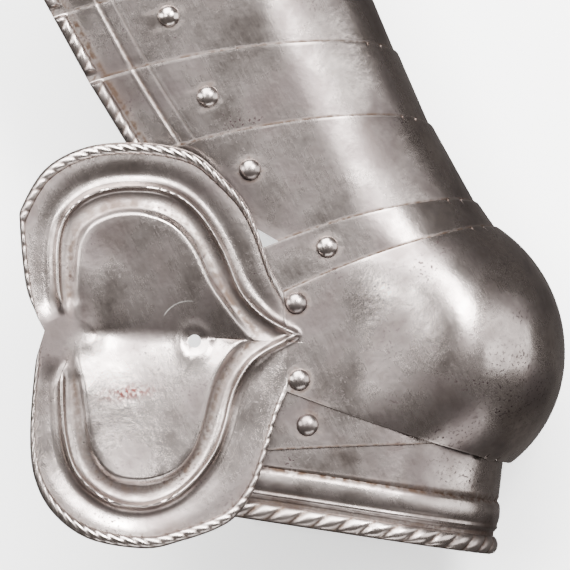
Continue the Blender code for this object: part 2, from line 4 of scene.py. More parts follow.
import bmesh
import bpy
from mathutils import Matrix, Vector, kdtree
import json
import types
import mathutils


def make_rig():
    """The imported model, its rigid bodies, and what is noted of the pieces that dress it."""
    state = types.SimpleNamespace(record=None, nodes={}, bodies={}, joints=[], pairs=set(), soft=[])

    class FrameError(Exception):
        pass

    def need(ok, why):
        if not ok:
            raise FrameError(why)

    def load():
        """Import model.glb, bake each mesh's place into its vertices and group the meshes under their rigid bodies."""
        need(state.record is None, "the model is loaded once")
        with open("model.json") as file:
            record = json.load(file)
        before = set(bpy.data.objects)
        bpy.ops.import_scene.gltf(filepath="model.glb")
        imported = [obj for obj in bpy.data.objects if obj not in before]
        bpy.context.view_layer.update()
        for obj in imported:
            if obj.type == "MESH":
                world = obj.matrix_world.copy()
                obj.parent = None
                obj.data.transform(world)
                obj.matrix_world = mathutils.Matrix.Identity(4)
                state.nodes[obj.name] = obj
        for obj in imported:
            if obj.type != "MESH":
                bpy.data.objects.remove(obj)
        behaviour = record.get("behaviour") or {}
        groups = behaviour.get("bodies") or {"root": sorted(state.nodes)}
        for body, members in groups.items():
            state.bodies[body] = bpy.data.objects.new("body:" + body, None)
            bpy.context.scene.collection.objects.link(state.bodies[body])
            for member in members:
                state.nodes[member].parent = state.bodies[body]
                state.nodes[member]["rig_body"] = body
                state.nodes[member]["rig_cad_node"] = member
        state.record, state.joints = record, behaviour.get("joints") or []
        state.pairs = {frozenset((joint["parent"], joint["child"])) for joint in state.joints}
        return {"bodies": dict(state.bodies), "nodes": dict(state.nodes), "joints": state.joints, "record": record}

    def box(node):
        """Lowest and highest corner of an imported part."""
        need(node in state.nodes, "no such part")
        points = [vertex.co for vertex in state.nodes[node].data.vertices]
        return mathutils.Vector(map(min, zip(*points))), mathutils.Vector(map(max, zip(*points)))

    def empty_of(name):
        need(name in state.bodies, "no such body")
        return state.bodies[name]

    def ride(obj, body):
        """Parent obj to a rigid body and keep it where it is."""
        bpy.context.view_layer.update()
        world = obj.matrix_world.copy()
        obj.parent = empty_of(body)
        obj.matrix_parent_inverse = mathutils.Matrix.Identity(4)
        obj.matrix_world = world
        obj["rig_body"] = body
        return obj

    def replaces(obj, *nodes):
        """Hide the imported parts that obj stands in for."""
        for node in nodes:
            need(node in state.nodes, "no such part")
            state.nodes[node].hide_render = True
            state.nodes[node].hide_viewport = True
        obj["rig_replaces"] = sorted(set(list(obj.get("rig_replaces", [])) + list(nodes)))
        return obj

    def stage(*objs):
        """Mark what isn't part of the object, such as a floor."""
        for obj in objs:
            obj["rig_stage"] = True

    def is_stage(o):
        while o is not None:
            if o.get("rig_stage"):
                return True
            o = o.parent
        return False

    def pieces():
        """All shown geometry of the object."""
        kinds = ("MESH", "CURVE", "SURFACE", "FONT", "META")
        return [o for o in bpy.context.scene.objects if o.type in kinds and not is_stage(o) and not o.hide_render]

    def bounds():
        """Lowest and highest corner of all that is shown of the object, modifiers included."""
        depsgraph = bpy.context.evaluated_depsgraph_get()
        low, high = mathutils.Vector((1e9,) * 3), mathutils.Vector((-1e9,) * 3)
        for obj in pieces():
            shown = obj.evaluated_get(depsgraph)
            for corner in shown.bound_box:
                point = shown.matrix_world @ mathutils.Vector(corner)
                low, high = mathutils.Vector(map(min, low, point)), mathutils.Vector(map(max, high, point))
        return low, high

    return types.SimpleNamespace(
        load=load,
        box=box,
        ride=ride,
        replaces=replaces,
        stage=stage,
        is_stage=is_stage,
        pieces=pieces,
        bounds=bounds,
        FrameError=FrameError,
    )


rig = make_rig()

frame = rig.load()
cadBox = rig.bounds()
print("the frame is loaded")

mm = 0.001

# The leg as a whole: lengths in millimetres, angles in degrees.
leg = {
    "sheet": 1.0,
    "seatGap": 0.4,
    "thighLean": 26.9,
    "shinLean": 8.7,
    "halfWidth": 61.0,
    "frontRound": 62.0,
    "backDrop": 4.0,
    "dropStart": 0.6,
    "innerCut": 26.0,
    "shinCut": 14.0,
    "ear": 8.0,
    "cover": 16.0,
    "beadWidth": 6.5,
    "beadRise": 2.8,
    "lipDrop": 0.04,
    "innerSlack": 0.5,  # relief deeper than this shows on the inner side too
    # Painted shade over the whole inner side of every plate.
    "insidePaintedShade": 0.75,
    "shift": (7.29, -73.95, 69.2),  # from the leg's own origin to the middle of the whole object
}
step = leg["sheet"] + leg["seatGap"]
levelLow = leg["halfWidth"]
levelMid = levelLow + step
levelTop = levelMid + step

thighEdges = {
    "top": {"front": (121.0, 262.0), "back": (-34.0, 291.5), "bow": 3.0},
    "first": {"front": (117.1, 137.9), "back": (-30.2, 196.8), "bow": 10.5},
    "second": {"front": (115.8, 101.9), "back": (-29.0, 159.6), "bow": 10.5},
    "third": {"front": (114.7, 61.0), "back": (-25.3, 114.5), "bow": 11.0},
    "fourth": {"front": (117.9, 16.3), "back": (2.3, 47.6), "bow": 8.0},
}
shinEdges = {
    "cover": {"front": (118.4, -33.7), "back": (-12.0, -57.2), "bow": 1.5},
    "groove": {"front": (118.2, -63.2), "back": (-17.0, -63.2), "bow": 0.0},
    "rim": {"front": (118.2, -90.2), "back": (-19.0, -90.2), "bow": 0.0},
}
pivots = {
    "thigh": ("thigh", (21.4, 171.1)),
    "first": ("thigh", (20.7, 126.6)),
    "second": ("thigh", (23.0, 84.6)),
    "third": ("thigh", (39.9, 32.9)),
    "knee_top": ("knee", (5.3, 19.3)),
    "knee_foot": ("knee", (6.8, -18.8)),
    "shin": ("knee", (11.0, -41.3)),
}


def frameAxes(name):
    turn = {"thigh": 0.0, "knee": -leg["thighLean"], "shin": -leg["thighLean"] - leg["shinLean"]}[name]
    forward = Vector((math.cos(math.radians(turn)), math.sin(math.radians(turn))))
    return forward, Vector((-forward.y, forward.x))


def place(name, point):
    forward, up = frameAxes(name)
    return forward * point[0] + up * point[1]


def pivotPoint(name):
    return place(*pivots[name])


def smooth(share):
    share = min(max(share, 0.0), 1.0)
    return share * share * (3 - 2 * share)


def bump(distance, centre, width):
    return math.exp(-(((distance - centre) / width) ** 2))


def fromShare(share, start, end):
    return smooth((share - start) / (end - start))


def bumps(distance, rows):
    # Each row is a place, a width and an amount.
    return sum(amount * bump(distance, centre, width) for centre, width, amount in rows)


def roundOver(across):
    # Height of a half circle at a share of its width.
    return math.sqrt(max(0.0, 1 - (2 * across - 1) ** 2))


class CrossLine:
    # One cross-section of the leg, from the inner back edge round the front to the outer back edge.
    # A point on it has a kind and a value: "inner" and "outer" take a share of the flat side,
    # "arc" an angle round the front, "bead" millimetres in from the outer back edge.
    def __init__(self, frameName, front, back, bow, outer, **more):
        self.front = place(frameName, front)
        self.back = place(frameName, back)
        self.bow = bow
        self.outer = outer
        self.inner = more.get("inner", outer)
        self.rounding = more.get("rounding", leg["frontRound"])
        self.drop = more.get("drop", leg["backDrop"])
        self.bulge = more.get("bulge", 0.0)
        self.outerStart = more.get("outerStart", 0.0)
        self.innerStart = more.get("innerStart", leg["innerCut"])
        self.floor = more.get("floor", 1000.0)

    def changed(self, **changes):
        other = copy.copy(self)
        for key, value in changes.items():
            setattr(other, key, value)
        return other

    def inside(self, **changes):
        along = (self.front - self.back).normalized()
        made = {"front": self.front - along * step, "outer": self.outer - step, "inner": self.inner - step}
        made.update(changes)
        return self.changed(**made)

    def half(self, sideHalf, share, drop):
        swell = self.bulge * (1 - smooth(share / knee["bulgeEnd"]))
        return sideHalf + swell - drop * max(share - leg["dropStart"], 0) / (1 - leg["dropStart"])

    def point(self, kind, value):
        along = (self.front - self.back).normalized()
        across = Vector((-along.y, along.x))
        centre = (self.front - self.back).length - self.rounding
        quarter = self.rounding * math.pi / 2
        if kind == "arc":
            angle = math.radians(value)
            x = centre + self.rounding * math.cos(angle)
            z = ((self.outer if value > 0 else self.inner) + self.bulge) * math.sin(angle)
            run = self.rounding * abs(angle)
        else:
            start = self.innerStart if kind == "inner" else self.outerStart
            x = start + value if kind == "bead" else centre + (start - centre) * value
            share = (centre - x) / (centre - start)
            if kind == "inner":
                z = -self.half(self.inner, share, 0.0)
            else:
                z = self.half(self.outer, share, self.drop)
            run = quarter + centre - x
        way = run / (quarter + centre)
        spot = self.back + along * x + across * (self.bow * 4 * way * (1 - way))
        return Vector((spot.x, spot.y, max(z, -self.floor)))


def shellMesh(grid, relief):
    # relief gives height, dirt and painted shade, and wear at a row and column of the grid.
    rows = len(grid)
    columns = len(grid[0])
    mesh = bmesh.new()
    bmesh.ops.create_grid(mesh, x_segments=columns - 1, y_segments=rows - 1, size=0.5)
    grown = bmesh.ops.extrude_face_region(mesh, geom=mesh.faces[:])
    raised = [item for item in grown["geom"] if isinstance(item, bmesh.types.BMVert)]
    bmesh.ops.translate(mesh, vec=(0, 0, 1), verts=raised)
    dirtAndShadeLayer = mesh.verts.layers.float.new("dirtAndShade")
    wearLayer = mesh.verts.layers.float.new("wear")
    normals = []
    for r in range(rows):
        line = []
        for c in range(columns):
            along = grid[r][min(c + 1, columns - 1)] - grid[r][max(c - 1, 0)]
            across = grid[min(r + 1, rows - 1)][c] - grid[max(r - 1, 0)][c]
            line.append(along.cross(across).normalized())
        normals.append(line)
    middleRow = grid[rows // 2]
    outward = middleRow[columns // 2] - middleRow[0]
    facing = 1 if normals[rows // 2][columns // 2].dot(outward) > 0 else -1
    origin = Vector(leg["shift"])
    for vert in mesh.verts:
        c = round((vert.co.x + 0.5) * (columns - 1))
        r = round((vert.co.y + 0.5) * (rows - 1))
        height, dirtAndShade, wear = relief(r, c)
        outerSide = vert.co.z > 0.5
        lift = height if outerSide else min(height + leg["innerSlack"], 0.0) - leg["sheet"]
        # The inner side is darkened all over with painted shade.
        vert[dirtAndShadeLayer] = dirtAndShade if outerSide else leg["insidePaintedShade"]
        vert[wearLayer] = wear if outerSide else 0.0
        vert.co = (grid[r][c] + normals[r][c] * facing * lift + origin) * mm
    bmesh.ops.recalc_face_normals(mesh, faces=mesh.faces[:])
    return mesh


def addPiece(name, mesh, body, material, nodes, sharp=50):
    data = bpy.data.meshes.new(name)
    mesh.to_mesh(data)
    mesh.free()
    data.shade_smooth()
    data.set_sharp_from_angle(angle=math.radians(sharp))
    obj = bpy.data.objects.new(name, data)
    bpy.context.scene.collection.objects.link(obj)
    data.materials.append(material)
    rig.ride(obj, body)
    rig.replaces(obj, *nodes)
    return obj


def rgb(hexColour):
    parts = [int(hexColour[i:i + 2], 16) / 255 for i in (0, 2, 4)]
    linear = [c / 12.92 if c <= 0.04045 else ((c + 0.055) / 1.055) ** 2.4 for c in parts]
    return (*linear, 1.0)


def addNode(tree, kind, inputs=None, **settings):
    node = tree.nodes.new(kind)
    for key, value in settings.items():
        setattr(node, key, value)
    for key, value in (inputs or {}).items():
        socket = node.inputs[key]
        if isinstance(value, bpy.types.NodeSocket):
            tree.links.new(value, socket)
        else:
            socket.default_value = value
    return node


# Forged steel, planished and polished, with brown patina in its hollows and scattered rust pits. The same brown also
# paints shade along overlaps, on tucked parts and on the inner side.
# The hammer's marks and the grain are bump; every larger form is in the mesh.
steel = {
    "bright": "B9AFAA",
    "grey": "6E6563",
    "patinaAndShade": "46382F",
    "pit": "33292A",
    "smoothest": 0.17,
    "dullest": 0.32,
    "cloudMm": 28.0,
    "stainMm": 22.0,
    "fineMm": 3.0,
    "pitMm": 1.5,
    "pitPatchMm": 20.0,
    "brushMm": 0.5,
    "brushStretch": (1.0, 0.06, 0.4),
    # The noise values between which each cloud runs from none to full.
    "cloudRange": (0.35, 0.65),
    "fineRange": (0.35, 0.7),
    "stainRange": (0.48, 0.72),
    "patchRange": (0.58, 0.7),
    "pitRange": (0.58, 0.63),
    "brushRange": (0.3, 0.7),
    "fineGrey": 0.35,
    "leastDarkening": 0.35,
    "pittedGain": 0.1,
    "darkenedRough": 0.28,
    "pitRough": 0.2,
    "brushRough": 0.035,
    "hammerMm": 14.0,
    "hammerDepth": 0.0005,
    "hammerStrength": 0.35,
    "grainDepth": 0.0002,
    "grainStrength": 0.12,
    "pitStrength": 0.08,
}

# A patch of pits on the dome, and red rust and a fine curved scratch on the wing.
# They are placed in the knee's own frame, in millimetres.
marks = {
    "pitsAt": (110.0, -22.0),
    "pitsSize": (34.0, 30.0, 60.0),
    "pitsLevel": levelTop - 12,
    "rust": "55211A",
    "rustAt": (-78.5, -25.4),
    "rustSize": (21.0, 5.5, 30.0),
    "rustTurn": 7.0,
    "rustLevel": levelTop + 8,
    "rustSpeckMm": 1.6,
    "rustRange": (0.48, 0.55),
    "scratched": "F2EEE9",
    "scratchCentre": (-48.0, 6.0),
    "scratchRadius": 14.3,
    "scratchCore": 0.1,
    "scratchHalf": 0.35,
    "scratchMiddle": (-54.0, 18.6),
    "scratchLevel": levelTop + 7,
    "scratchSpan": (6.5, 9.0),
}


def legPoint(name, point, level):
    return (place(name, point).to_3d() + Vector((0, 0, level)) + Vector(leg["shift"])) * mm


def steelMaterial(name, pitted, stained, marked=False):
    material = bpy.data.materials.new(name)
    material.use_nodes = True
    tree = material.node_tree
    shader = tree.nodes["Principled BSDF"]
    shader.inputs["Metallic"].default_value = 1.0
    where = addNode(tree, "ShaderNodeTexCoord").outputs["Object"]
    dirtAndShade = addNode(tree, "ShaderNodeAttribute", attribute_name="dirtAndShade").outputs["Fac"]
    wear = addNode(tree, "ShaderNodeAttribute", attribute_name="wear").outputs["Fac"]

    def ranged(value, low, high, start=0.0, end=1.0):
        inputs = {"Value": value, "From Min": low, "From Max": high, "To Min": start, "To Max": end}
        return addNode(tree, "ShaderNodeMapRange", inputs).outputs["Result"]

    def cloud(sizeMm, detail, low, high, vector=where):
        inputs = {"Vector": vector, "Scale": 1 / (sizeMm * mm), "Detail": detail}
        return ranged(addNode(tree, "ShaderNodeTexNoise", inputs).outputs["Fac"], low, high)

    def clamped(operation, first, second):
        inputs = {0: first, 1: second}
        return addNode(tree, "ShaderNodeMath", inputs, operation=operation, use_clamp=True).outputs[0]

    def vectorMath(operation, result, *values):
        inputs = dict(enumerate(values))
        return addNode(tree, "ShaderNodeVectorMath", inputs, operation=operation).outputs[result]

    def mixed(share, first, second):
        # Sockets 6 and 7 are the colour inputs, and 2 is the colour output.
        inputs = {"Factor": share, 6: first, 7: second}
        return addNode(tree, "ShaderNodeMix", inputs, data_type="RGBA").outputs[2]

    def bumped(height, strength, depth, **normal):
        # A strength below 0 sinks what is high.
        inputs = {"Height": height, "Strength": abs(strength), "Distance": depth, **normal}
        return addNode(tree, "ShaderNodeBump", inputs, invert=strength < 0).outputs["Normal"]

    def inPatch(at, size, turn, level):
        # 1 in the middle of an oval patch, 0 outside it.
        inputs = {
            "Vector": where, "Location": tuple(legPoint("knee", at, level)),
            "Rotation": (0, 0, math.radians(turn - leg["thighLean"])),
            "Scale": tuple(value * mm for value in size),
        }
        local = addNode(tree, "ShaderNodeMapping", inputs, vector_type="TEXTURE").outputs[0]
        return ranged(vectorMath("LENGTH", "Value", local), 0.2, 1.0, 1.0, 0.0)

    def scratchLine():
        # 1 on a short arc.
        centre = tuple(legPoint("knee", marks["scratchCentre"], 0))
        away = vectorMath("SUBTRACT", 0, where, centre)
        flat = vectorMath("MULTIPLY", 0, away, (1, 1, 0))
        inputs = {0: vectorMath("LENGTH", "Value", flat), 1: marks["scratchRadius"] * mm}
        off = addNode(tree, "ShaderNodeMath", inputs, operation="SUBTRACT").outputs[0]
        off = addNode(tree, "ShaderNodeMath", {0: off}, operation="ABSOLUTE").outputs[0]
        line = ranged(off, marks["scratchCore"] * mm, marks["scratchHalf"] * mm, 1.0, 0.0)
        middle = tuple(legPoint("knee", marks["scratchMiddle"], marks["scratchLevel"]))
        full, gone = marks["scratchSpan"]
        reach = vectorMath("DISTANCE", "Value", where, middle)
        return clamped("MULTIPLY", line, ranged(reach, full * mm, gone * mm, 1.0, 0.0))

    clouds = cloud(steel["cloudMm"], 4, *steel["cloudRange"])
    fine = cloud(steel["fineMm"], 5, *steel["fineRange"])
    least, full = steel["patchRange"]
    patch = cloud(steel["pitPatchMm"], 3, least - steel["pittedGain"] * pitted, full)
    if marked:
        dome = inPatch(marks["pitsAt"], marks["pitsSize"], 0.0, marks["pitsLevel"])
        patch = clamped("ADD", patch, dome)
    pits = clamped("MULTIPLY", cloud(steel["pitMm"], 3, *steel["pitRange"]), patch)
    inputs = {"Vector": where, "Scale": steel["brushStretch"]}
    strokes = addNode(tree, "ShaderNodeMapping", inputs).outputs[0]
    brushed = cloud(steel["brushMm"], 2, *steel["brushRange"], strokes)
    stain = clamped("MULTIPLY", cloud(steel["stainMm"], 5, *steel["stainRange"]), stained)
    # The dirt attribute holds real dirt in the hollows and painted shade along overlaps, on tucked parts and on the
    # inner side; both darken towards the brown.
    darkened = clamped("MULTIPLY", dirtAndShade, clamped("ADD", fine, steel["leastDarkening"]))
    colour = mixed(clouds, rgb(steel["grey"]), rgb(steel["bright"]))
    colour = mixed(clamped("MULTIPLY", fine, steel["fineGrey"]), colour, rgb(steel["grey"]))
    colour = mixed(stain, colour, rgb(steel["patinaAndShade"]))
    colour = mixed(darkened, colour, rgb(steel["patinaAndShade"]))
    colour = mixed(pits, colour, rgb(steel["pit"]))
    colour = mixed(wear, colour, rgb(steel["bright"]))
    if marked:
        near = inPatch(marks["rustAt"], marks["rustSize"], marks["rustTurn"], marks["rustLevel"])
        specks = clamped("MULTIPLY", cloud(marks["rustSpeckMm"], 3, *marks["rustRange"]), near)
        colour = mixed(specks, colour, rgb(marks["rust"]))
        colour = mixed(scratchLine(), colour, rgb(marks["scratched"]))
    tree.links.new(colour, shader.inputs["Base Color"])
    rough = ranged(clouds, 0.0, 1.0, steel["dullest"], steel["smoothest"])
    for share, amount in ((darkened, "darkenedRough"), (pits, "pitRough"), (brushed, "brushRough")):
        rough = clamped("ADD", rough, clamped("MULTIPLY", share, steel[amount]))
    tree.links.new(rough, shader.inputs["Roughness"])
    hammer = addNode(
        tree, "ShaderNodeTexNoise",
        {"Vector": where, "Scale": 1 / (steel["hammerMm"] * mm), "Detail": 1.0, "Roughness": 0.4},
    ).outputs["Fac"]
    normal = bumped(hammer, steel["hammerStrength"], steel["hammerDepth"])
    normal = bumped(fine, steel["grainStrength"], steel["grainDepth"], Normal=normal)
    normal = bumped(pits, -steel["pitStrength"], steel["grainDepth"], Normal=normal)
    tree.links.new(normal, shader.inputs["Normal"])
    return material


plateSteel = steelMaterial("polishedForgedSteel", 0.35, 0.25)
cupSteel = steelMaterial("polishedForgedSteelCup", 1.0, 0.35, marked=True)
shinSteel = steelMaterial("stainedForgedSteel", 0.8, 0.6)
rivetSteel = steelMaterial("polishedRivetSteel", 0.0, 0.0)
print("steels are mixed")


# The thigh plates: a roped back edge, two lines beside it, and a notched upper edge.
thigh = {
    "ropePitch": 7.8,
    "ropeCut": 0.34,
    "ropeSkew": 0.75,
    "ropeEase": 2.6,
    "ropeEnds": (3.8, 6.0, 2.2),
    # Each row is a distance from the back edge, a width and an amount.
    "ridge": [(21.2, 0.6, 0.22), (22.9, 0.8, -0.3)],
    "line": [(31.2, 0.5, 0.16), (30.1, 0.6, -0.2)],
    "stripDirt": [(8.0, 2.0, 0.9), (22.9, 1.0, 0.9), (30.3, 0.5, 0.6)],
    "stripWear": [(21.2, 0.6, 0.3), (31.2, 0.5, 0.2)],
    "raised": (23.2, 24.4, 29.5, 30.6),
    "raisedRise": 0.12,
    "edgeDirt": (15.0, 7.0, 0.35),
    "stripWidth": 36.0,
    "notchAngles": (42.0, 32.0),
    "notchDepth": 3.2,
    "notchHalf": 0.75,
    "notchFade": 7.0,
    "archRise": 0.9,
    "rolledDepth": 7.0,
    "rolledFlare": 3.6,
    "edgeWear": 0.35,
    # Painted shade in a thin line just above where the next plate's edge lies over this one.
    "overlapPaintedShade": (1.9, 0.2, 1.2),
    "tuckInset": 1.5,
    "tuckShare": 0.5,
    # Painted shade on the part that lies tucked under the next plate.
    "tuckedPaintedShade": 0.7,
    "thirdFrom": 17.0,
    "fourthFrom": -6.0,
    "rowMm": 0.95,
}
# Dirt in a ring round each rivet: distance from its axis, width and amount.
rivetRing = (6.2, 1.1, 0.75)


def strand(run, inward, pitch, skew, cut, ease):
    # 1 on a strand's crown, less in the groove between two strands; more ease narrows the groove.
    phase = run / pitch + skew * inward
    return 1 - cut * (1 - abs(math.sin(math.pi * phase))) ** ease


def steps(first, last, count):
    return [first + (last - first) * i / count for i in range(count + 1)]


def finePlaces(roped):
    # Places round a plate, closer together at the notches, the lines and the rope.
    found = [("inner", share) for share in steps(1.0, 0.08, 8)]
    found += [("arc", angle) for angle in steps(-90, 24, 38)]
    found += [("arc", angle) for angle in steps(24.5, 50, 51)]
    found += [("arc", angle) for angle in steps(53, 90, 12)]
    if roped:
        found += [("outer", share) for share in steps(0.06, 0.5, 11)]
        found += [("bead", value) for value in steps(38.0, 7.5, 41)]
    else:
        found += [("outer", share) for share in steps(0.06, 0.74, 13)]
        found += [("bead", 7.5)]
    found += [("bead", value) for value in steps(leg["beadWidth"], 0.0, 10)]
    return found


def notchDrop(angle):
    # How far a plate's upper edge is filed down at an angle round the front; an arch is below 0.
    angle = abs(angle)
    first, second = thigh["notchAngles"]
    drop = 0.0
    for at in (first, second):
        drop = max(drop, thigh["notchDepth"] * (1 - abs(angle - at) / thigh["notchHalf"]))
    middle = (first + second) / 2
    half = (first - second) / 2
    if abs(angle - middle) < half and drop <= 0:
        drop = -thigh["archRise"] * (1 - ((angle - middle) / half) ** 2)
    return drop


def backRelief(back):
    # Height, dirt and wear of the worked strip, by the distance from the plate's back edge.
    rise, flat, fall, foot = thigh["raised"]
    height = bumps(back, thigh["ridge"])
    height += thigh["raisedRise"] * fromShare(back, rise, flat) * (1 - fromShare(back, fall, foot))
    height += bumps(back, thigh["line"])
    clean, darkened, amount = thigh["edgeDirt"]
    dirtAndShade = bumps(back, thigh["stripDirt"]) + amount * fromShare(back, clean, darkened)
    return height, dirtAndShade, bumps(back, thigh["stripWear"])


def tuckedPlaces(places):
    inset = leg["beadWidth"] + thigh["tuckInset"]
    found = []
    for kind, value in places:
        if kind == "bead":
            value = inset + thigh["tuckShare"] * min(value, thigh["stripWidth"])
        found.append((kind, value))
    return found


def guideRuns(places, upper, lower):
    # The direction of the next plate's surface at each place.
    runs = []
    for kind, value in tuckedPlaces(places):
        runs.append((lower.point(kind, value) - upper.point(kind, value)).normalized())
    return runs


def reachPast(edge, pivot, places, runs):
    # How far a plate runs on under the next one to carry the pivot between them.
    wall = next(index for index, (kind, value) in enumerate(places) if kind == "outer" and value > 0.4)
    run = runs[wall].xy.normalized()
    along = (edge.front - edge.back).normalized()
    across = Vector((-along.y, along.x))
    offset = pivot - edge.back
    turn = along.cross(run)
    length = edge.rounding * math.pi / 2 + (edge.front - edge.back).length - edge.rounding
    way = min(1 - offset.cross(run) / turn / length, 1.0)
    rise = edge.bow * 4 * way * (1 - way)
    return along.cross(offset) / turn - rise * across.dot(run) + leg["ear"]


def tuckedRow(edge, places, pivot, share, reach, runs):
    # Straight under the next plate at the sides, and turned about the pivot round the front.
    side = 1 if (edge.front - edge.back).cross(runs[0].xy) > 0 else -1
    centre = Vector((pivot.x, pivot.y, 0.0))
    row = []
    for (kind, value), run in zip(tuckedPlaces(places), runs):
        start = edge.point(kind, value)
        straight = start + run * reach * share
        weight = smooth(2 * math.cos(math.radians(value))) if kind == "arc" else 0.0
        flat = Vector((start.x - pivot.x, start.y - pivot.y))
        turn = side * share * leg["cover"] / max(flat.length, 1.0)
        turned = Matrix.Rotation(turn, 3, "Z") @ (start - centre) + centre
        row.append(straight.lerp(turned, weight))
    return row


def pivotDirt(spot, names):
    dirtAndShade = 0.0
    for name in names:
        dirtAndShade = max(dirtAndShade, bumps((spot.xy - pivotPoint(name)).length, [rivetRing]))
    return dirtAndShade


def thighPiece(upper, lower, pivotBelow, cover, pivotsHere, roped, rolled):
    places = finePlaces(roped)
    first = [upper.point(*spot) for spot in places]
    last = [lower.point(*spot) for spot in places]
    lengths = [(b - a).length for a, b in zip(first, last)]
    count = int(max(lengths) / thigh["rowMm"])
    shares = [0.0, 0.006, 0.014] + steps(0.022, 1.0, count)
    grid = []
    for share in shares:
        line = []
        for (kind, value), a, b, length in zip(places, first, last, lengths):
            drop = 0.0
            if kind == "arc" and not rolled:
                drop = notchDrop(value) * max(0.0, 1 - share * length / thigh["notchFade"])
            line.append(a.lerp(b, share + drop / length))
        grid.append(line)
    runs = guideRuns(places, *cover)
    pivot = pivotPoint(pivotBelow)
    reach = reachPast(lower, pivot, places, runs)
    for share in steps(0.0, 1.0, 6)[1:]:
        grid.append(tuckedRow(lower, places, pivot, share, reach, runs))
    endStart, endFull, topFull = thigh["ropeEnds"]
    shadeStart, shadeFull, shadeAmount = thigh["overlapPaintedShade"]

    def edgeRelief(value, below, above):
        # Rope, ridge and lines along the back edge.
        if value > leg["beadWidth"]:
            height, dirtAndShade, wear = backRelief(value)
            height *= fromShare(above, 3.0, 6.0) if height > 0 else fromShare(above, 0.0, 0.8)
            return height, dirtAndShade, wear
        across = value / leg["beadWidth"]
        crown = strand(
            below, across, thigh["ropePitch"], thigh["ropeSkew"], thigh["ropeCut"], thigh["ropeEase"]
        )
        ends = fromShare(above, endStart, endFull)
        if not rolled:
            ends *= fromShare(below, 0.0, topFull)
        height = leg["beadRise"] * roundOver(across) * crown * ends
        dirtAndShade = 0.9 * (1 - crown) / thigh["ropeCut"] + 0.2
        return height, dirtAndShade, max(0.0, crown * 2 - 1.4) * roundOver(across) * 0.6

    def relief(r, c):
        kind, value = places[c]
        # The part tucked under the next plate is darkened with painted shade.
        if r >= len(shares):
            return 0.0, thigh["tuckedPaintedShade"], 0.0
        below = shares[r] * lengths[c]
        above = lengths[c] - below
        height, dirtAndShade, wear = 0.0, 0.0, 0.0
        if kind == "bead" and roped:
            height, dirtAndShade, wear = edgeRelief(value, below, above)
        if rolled and below < thigh["rolledDepth"]:
            height = max(height, leg["beadRise"] * roundOver(below / thigh["rolledDepth"]))
            if kind == "bead":
                height *= min(1.0, value / 1.5)
        if not rolled and below < 1.0:
            height -= leg["lipDrop"] * (1 - below)
            wear = max(wear, thigh["edgeWear"])
        # Painted shade just above the next plate's edge.
        dirtAndShade += shadeAmount * fromShare(above, shadeStart, shadeFull)
        if abs(value) < 80:
            dirtAndShade += pivotDirt(grid[r][c], pivotsHere)
        return height, min(dirtAndShade, 1.0), min(wear, 1.0)

    return shellMesh(grid, relief)


edges = {
    name: CrossLine("thigh", row["front"], row["back"], row["bow"], levelMid)
    for name, row in thighEdges.items()
}
knee = {
    "reach": 141.0,
    "peak": -5.0,
    "top": 27.6,
    "foot": -28.2,
    "bowTop": 6.0,
    "bowFoot": 2.0,
    "neckTop": (-1.0, 24.5),
    "neckFoot": (1.0, -24.8),
    "neckPlay": 5.0,
    "bulge": 8.0,
    "bulgeEnd": 0.65,
    "round": 55.0,
    "restFlat": 2.6,
    "upperFall": 16.5,
    "lowerFall": 20.0,
    "fallOver": 30.0,
    "neckHeight": 49.0,
}
restLevel = levelTop + knee["bulge"] - knee["restFlat"]


def kneeEdge(share):
    angle = knee["top"] + (knee["foot"] - knee["top"]) * share
    fall = knee["upperFall"] if angle > knee["peak"] else knee["lowerFall"]
    reach = knee["reach"] - fall * ((angle - knee["peak"]) / knee["fallOver"]) ** 2
    front = (reach * math.cos(math.radians(angle)), reach * math.sin(math.radians(angle)))
    back = [a + (b - a) * share for a, b in zip(knee["neckTop"], knee["neckFoot"])]
    bow = knee["bowTop"] * max(1 - share, 0.0) ** 3 - knee["bowFoot"] * max(share, 0.0) ** 3
    return CrossLine(
        "knee", front, back, bow, levelTop,
        rounding=knee["round"], drop=0.0, bulge=knee["bulge"] * math.sin(math.pi * share),
        innerStart=-knee["neckPlay"], floor=restLevel,
    )


rolledLevel = levelMid + thigh["rolledFlare"]
edges["top"] = edges["top"].changed(outer=rolledLevel, inner=restLevel - leg["beadRise"])
edges["fourth"] = edges["fourth"].changed(drop=0.0)
kneeUpper = kneeEdge(0.0)
kneeLower = kneeEdge(1.0)
lowerLines = {
    "top": edges["first"].inside(),
    "first": edges["second"].inside(),
    "second": edges["third"].inside(),
    "third": edges["fourth"].inside(outerStart=thigh["thirdFrom"]),
    "fourth": kneeUpper.inside(outerStart=thigh["fourthFrom"]),
}
# Plate, its upper edge, the pivot below it, the plate that covers it, the pivots on it, roped, rolled.
thighRows = [
    ("thigh_plate", "top", "thigh", (edges["first"], lowerLines["first"]), (), True, True),
    ("first_lame", "first", "first", (edges["second"], lowerLines["second"]), ("thigh",), True, False),
    ("second_lame", "second", "second", (edges["third"], lowerLines["third"]), ("first",), True, False),
    ("third_lame", "third", "third", (edges["fourth"], lowerLines["fourth"]), ("second",), False, False),
    ("fourth_lame", "fourth", "knee_top", (kneeUpper, kneeLower), ("third",), False, False),
]
for name, upperName, *rest in thighRows:
    mesh = thighPiece(edges[upperName], lowerLines[upperName], *rest)
    addPiece(name + "_worked", mesh, name, plateSteel, [name])
print("thigh plates are raised")


